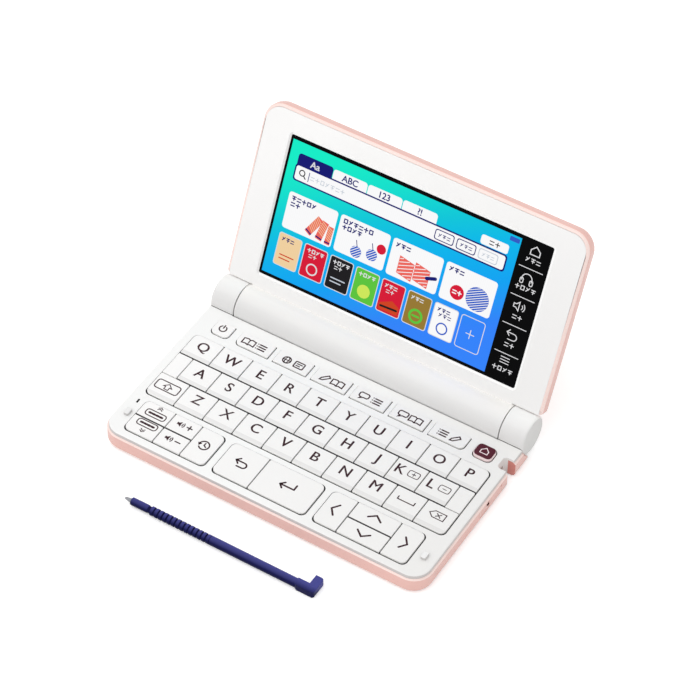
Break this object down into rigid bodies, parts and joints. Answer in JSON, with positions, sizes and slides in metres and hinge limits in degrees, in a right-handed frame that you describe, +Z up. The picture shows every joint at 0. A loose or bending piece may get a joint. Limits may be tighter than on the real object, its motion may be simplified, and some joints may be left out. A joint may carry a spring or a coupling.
{
  "type": "electronic dictionary",
  "caption": "Clamshell electronic dictionary: a shallow keyboard case, a screen lid that turns on a round battery barrel, and a hooked stylus lying in front.",
  "frame": {"origin": "on the table plane, under the middle of the keyboard case", "axes": "+X to the user's right along the keyboard, +Y away from the user towards the hinge, +Z up"},
  "size_m": [0.148, 0.1505, 0.0888],
  "materials": {
    "pink_shell": "satin",
    "white_shell": "satin",
    "key_white": "satin",
    "home_key": "satin",
    "screen_glass": "gloss",
    "display_frame": "satin",
    "cell": "satin",
    "contact": "polished",
    "circuit_board": "satin",
    "dome_rubber": "matte",
    "steel": "satin",
    "pad_rubber": "matte",
    "stylus_navy": "satin",
    "stylus_tip": "satin"
  },
  "bodies": {
    "base": {"bottom_case": "pink_shell", "top_deck": "white_shell", "main_board": "circuit_board", "dome_sheet": "dome_rubber", "hinge_pins": "steel", "rubber_pads": "pad_rubber", "screws": "steel"},
    "lid": {"lid_back_cover": "pink_shell", "lid_bezel": "white_shell", "touch_panel": "screen_glass", "lcd_module": "display_frame", "batteries": "cell", "battery_contacts": "contact"},
    "battery_cover": {"battery_cover": "white_shell"},
    "usb_cover": {"usb_cover": "pink_shell"},
    "stylus": {"stylus_barrel": "stylus_navy", "stylus_tip": "stylus_tip"},
    "key_power": {"key_power": "key_white"},
    "key_home": {"key_home": "home_key"},
    "dictionary_keys": {"dictionary_keys": "key_white"},
    "key_q": {"key_q": "key_white"},
    "key_w": {"key_w": "key_white"},
    "key_e": {"key_e": "key_white"},
    "key_r": {"key_r": "key_white"},
    "key_t": {"key_t": "key_white"},
    "key_y": {"key_y": "key_white"},
    "key_u": {"key_u": "key_white"},
    "key_i": {"key_i": "key_white"},
    "key_o": {"key_o": "key_white"},
    "key_p": {"key_p": "key_white"},
    "key_a": {"key_a": "key_white"},
    "key_s": {"key_s": "key_white"},
    "key_d": {"key_d": "key_white"},
    "key_f": {"key_f": "key_white"},
    "key_g": {"key_g": "key_white"},
    "key_h": {"key_h": "key_white"},
    "key_j": {"key_j": "key_white"},
    "key_k": {"key_k": "key_white"},
    "key_l": {"key_l": "key_white"},
    "key_shift": {"key_shift": "key_white"},
    "key_z": {"key_z": "key_white"},
    "key_x": {"key_x": "key_white"},
    "key_c": {"key_c": "key_white"},
    "key_v": {"key_v": "key_white"},
    "key_b": {"key_b": "key_white"},
    "key_n": {"key_n": "key_white"},
    "key_m": {"key_m": "key_white"},
    "key_space": {"key_space": "key_white"},
    "key_delete": {"key_delete": "key_white"},
    "key_scroll_up": {"key_scroll_up": "key_white"},
    "key_scroll_down": {"key_scroll_down": "key_white"},
    "key_volume_up": {"key_volume_up": "key_white"},
    "key_volume_down": {"key_volume_down": "key_white"},
    "key_history": {"key_history": "key_white"},
    "key_back": {"key_back": "key_white"},
    "key_enter": {"key_enter": "key_white"},
    "key_arrow_left": {"key_arrow_left": "key_white"},
    "key_arrow_up": {"key_arrow_up": "key_white"},
    "key_arrow_down": {"key_arrow_down": "key_white"},
    "key_arrow_right": {"key_arrow_right": "key_white"}
  },
  "joints": [
    {"name": "lid_hinge", "type": "hinge", "parent": "base", "child": "lid", "pos_m": [0, 0.0393, 0.01], "axis": [1, 0, 0], "range_deg": [-38, 114.1]},
    {"name": "battery_cover_slide", "type": "slide", "parent": "lid", "child": "battery_cover", "axis": [0, 0.9659, -0.2588], "range_m": [0, 0.006]},
    {"name": "usb_cover_hinge", "type": "hinge", "parent": "base", "child": "usb_cover", "pos_m": [0.07395, -0.0028, 0.005], "axis": [0, 0, -1], "range_deg": [0, 100]},
    {"name": "stylus_lift", "type": "slide", "parent": "base", "child": "stylus", "axis": [0, 0, 1], "range_m": [0, 0.05]},
    {"name": "key_power_press", "type": "slide", "parent": "base", "child": "key_power", "axis": [0, 0, -1], "range_m": [0, 0.0008], "stiffness_N_per_m": 400},
    {"name": "key_home_press", "type": "slide", "parent": "base", "child": "key_home", "axis": [0, 0, -1], "range_m": [0, 0.0008], "stiffness_N_per_m": 400},
    {"name": "dictionary_keys_press", "type": "slide", "parent": "base", "child": "dictionary_keys", "axis": [0, 0, -1], "range_m": [0, 0.0008], "stiffness_N_per_m": 400},
    {"name": "key_q_press", "type": "slide", "parent": "base", "child": "key_q", "axis": [0, 0, -1], "range_m": [0, 0.0008], "stiffness_N_per_m": 400},
    {"name": "key_w_press", "type": "slide", "parent": "base", "child": "key_w", "axis": [0, 0, -1], "range_m": [0, 0.0008], "stiffness_N_per_m": 400},
    {"name": "key_e_press", "type": "slide", "parent": "base", "child": "key_e", "axis": [0, 0, -1], "range_m": [0, 0.0008], "stiffness_N_per_m": 400},
    {"name": "key_r_press", "type": "slide", "parent": "base", "child": "key_r", "axis": [0, 0, -1], "range_m": [0, 0.0008], "stiffness_N_per_m": 400},
    {"name": "key_t_press", "type": "slide", "parent": "base", "child": "key_t", "axis": [0, 0, -1], "range_m": [0, 0.0008], "stiffness_N_per_m": 400},
    {"name": "key_y_press", "type": "slide", "parent": "base", "child": "key_y", "axis": [0, 0, -1], "range_m": [0, 0.0008], "stiffness_N_per_m": 400},
    {"name": "key_u_press", "type": "slide", "parent": "base", "child": "key_u", "axis": [0, 0, -1], "range_m": [0, 0.0008], "stiffness_N_per_m": 400},
    {"name": "key_i_press", "type": "slide", "parent": "base", "child": "key_i", "axis": [0, 0, -1], "range_m": [0, 0.0008], "stiffness_N_per_m": 400},
    {"name": "key_o_press", "type": "slide", "parent": "base", "child": "key_o", "axis": [0, 0, -1], "range_m": [0, 0.0008], "stiffness_N_per_m": 400},
    {"name": "key_p_press", "type": "slide", "parent": "base", "child": "key_p", "axis": [0, 0, -1], "range_m": [0, 0.0008], "stiffness_N_per_m": 400},
    {"name": "key_a_press", "type": "slide", "parent": "base", "child": "key_a", "axis": [0, 0, -1], "range_m": [0, 0.0008], "stiffness_N_per_m": 400},
    {"name": "key_s_press", "type": "slide", "parent": "base", "child": "key_s", "axis": [0, 0, -1], "range_m": [0, 0.0008], "stiffness_N_per_m": 400},
    {"name": "key_d_press", "type": "slide", "parent": "base", "child": "key_d", "axis": [0, 0, -1], "range_m": [0, 0.0008], "stiffness_N_per_m": 400},
    {"name": "key_f_press", "type": "slide", "parent": "base", "child": "key_f", "axis": [0, 0, -1], "range_m": [0, 0.0008], "stiffness_N_per_m": 400},
    {"name": "key_g_press", "type": "slide", "parent": "base", "child": "key_g", "axis": [0, 0, -1], "range_m": [0, 0.0008], "stiffness_N_per_m": 400},
    {"name": "key_h_press", "type": "slide", "parent": "base", "child": "key_h", "axis": [0, 0, -1], "range_m": [0, 0.0008], "stiffness_N_per_m": 400},
    {"name": "key_j_press", "type": "slide", "parent": "base", "child": "key_j", "axis": [0, 0, -1], "range_m": [0, 0.0008], "stiffness_N_per_m": 400},
    {"name": "key_k_press", "type": "slide", "parent": "base", "child": "key_k", "axis": [0, 0, -1], "range_m": [0, 0.0008], "stiffness_N_per_m": 400},
    {"name": "key_l_press", "type": "slide", "parent": "base", "child": "key_l", "axis": [0, 0, -1], "range_m": [0, 0.0008], "stiffness_N_per_m": 400},
    {"name": "key_shift_press", "type": "slide", "parent": "base", "child": "key_shift", "axis": [0, 0, -1], "range_m": [0, 0.0008], "stiffness_N_per_m": 400},
    {"name": "key_z_press", "type": "slide", "parent": "base", "child": "key_z", "axis": [0, 0, -1], "range_m": [0, 0.0008], "stiffness_N_per_m": 400},
    {"name": "key_x_press", "type": "slide", "parent": "base", "child": "key_x", "axis": [0, 0, -1], "range_m": [0, 0.0008], "stiffness_N_per_m": 400},
    {"name": "key_c_press", "type": "slide", "parent": "base", "child": "key_c", "axis": [0, 0, -1], "range_m": [0, 0.0008], "stiffness_N_per_m": 400},
    {"name": "key_v_press", "type": "slide", "parent": "base", "child": "key_v", "axis": [0, 0, -1], "range_m": [0, 0.0008], "stiffness_N_per_m": 400},
    {"name": "key_b_press", "type": "slide", "parent": "base", "child": "key_b", "axis": [0, 0, -1], "range_m": [0, 0.0008], "stiffness_N_per_m": 400},
    {"name": "key_n_press", "type": "slide", "parent": "base", "child": "key_n", "axis": [0, 0, -1], "range_m": [0, 0.0008], "stiffness_N_per_m": 400},
    {"name": "key_m_press", "type": "slide", "parent": "base", "child": "key_m", "axis": [0, 0, -1], "range_m": [0, 0.0008], "stiffness_N_per_m": 400},
    {"name": "key_space_press", "type": "slide", "parent": "base", "child": "key_space", "axis": [0, 0, -1], "range_m": [0, 0.0008], "stiffness_N_per_m": 400},
    {"name": "key_delete_press", "type": "slide", "parent": "base", "child": "key_delete", "axis": [0, 0, -1], "range_m": [0, 0.0008], "stiffness_N_per_m": 400},
    {"name": "key_scroll_up_press", "type": "slide", "parent": "base", "child": "key_scroll_up", "axis": [0, 0, -1], "range_m": [0, 0.0008], "stiffness_N_per_m": 400},
    {"name": "key_scroll_down_press", "type": "slide", "parent": "base", "child": "key_scroll_down", "axis": [0, 0, -1], "range_m": [0, 0.0008], "stiffness_N_per_m": 400},
    {"name": "key_volume_up_press", "type": "slide", "parent": "base", "child": "key_volume_up", "axis": [0, 0, -1], "range_m": [0, 0.0008], "stiffness_N_per_m": 400},
    {"name": "key_volume_down_press", "type": "slide", "parent": "base", "child": "key_volume_down", "axis": [0, 0, -1], "range_m": [0, 0.0008], "stiffness_N_per_m": 400},
    {"name": "key_history_press", "type": "slide", "parent": "base", "child": "key_history", "axis": [0, 0, -1], "range_m": [0, 0.0008], "stiffness_N_per_m": 400},
    {"name": "key_back_press", "type": "slide", "parent": "base", "child": "key_back", "axis": [0, 0, -1], "range_m": [0, 0.0008], "stiffness_N_per_m": 400},
    {"name": "key_enter_press", "type": "slide", "parent": "base", "child": "key_enter", "axis": [0, 0, -1], "range_m": [0, 0.0008], "stiffness_N_per_m": 400},
    {"name": "key_arrow_left_press", "type": "slide", "parent": "base", "child": "key_arrow_left", "axis": [0, 0, -1], "range_m": [0, 0.0008], "stiffness_N_per_m": 400},
    {"name": "key_arrow_up_press", "type": "slide", "parent": "base", "child": "key_arrow_up", "axis": [0, 0, -1], "range_m": [0, 0.0008], "stiffness_N_per_m": 400},
    {"name": "key_arrow_down_press", "type": "slide", "parent": "base", "child": "key_arrow_down", "axis": [0, 0, -1], "range_m": [0, 0.0008], "stiffness_N_per_m": 400},
    {"name": "key_arrow_right_press", "type": "slide", "parent": "base", "child": "key_arrow_right", "axis": [0, 0, -1], "range_m": [0, 0.0008], "stiffness_N_per_m": 400}
  ]
}
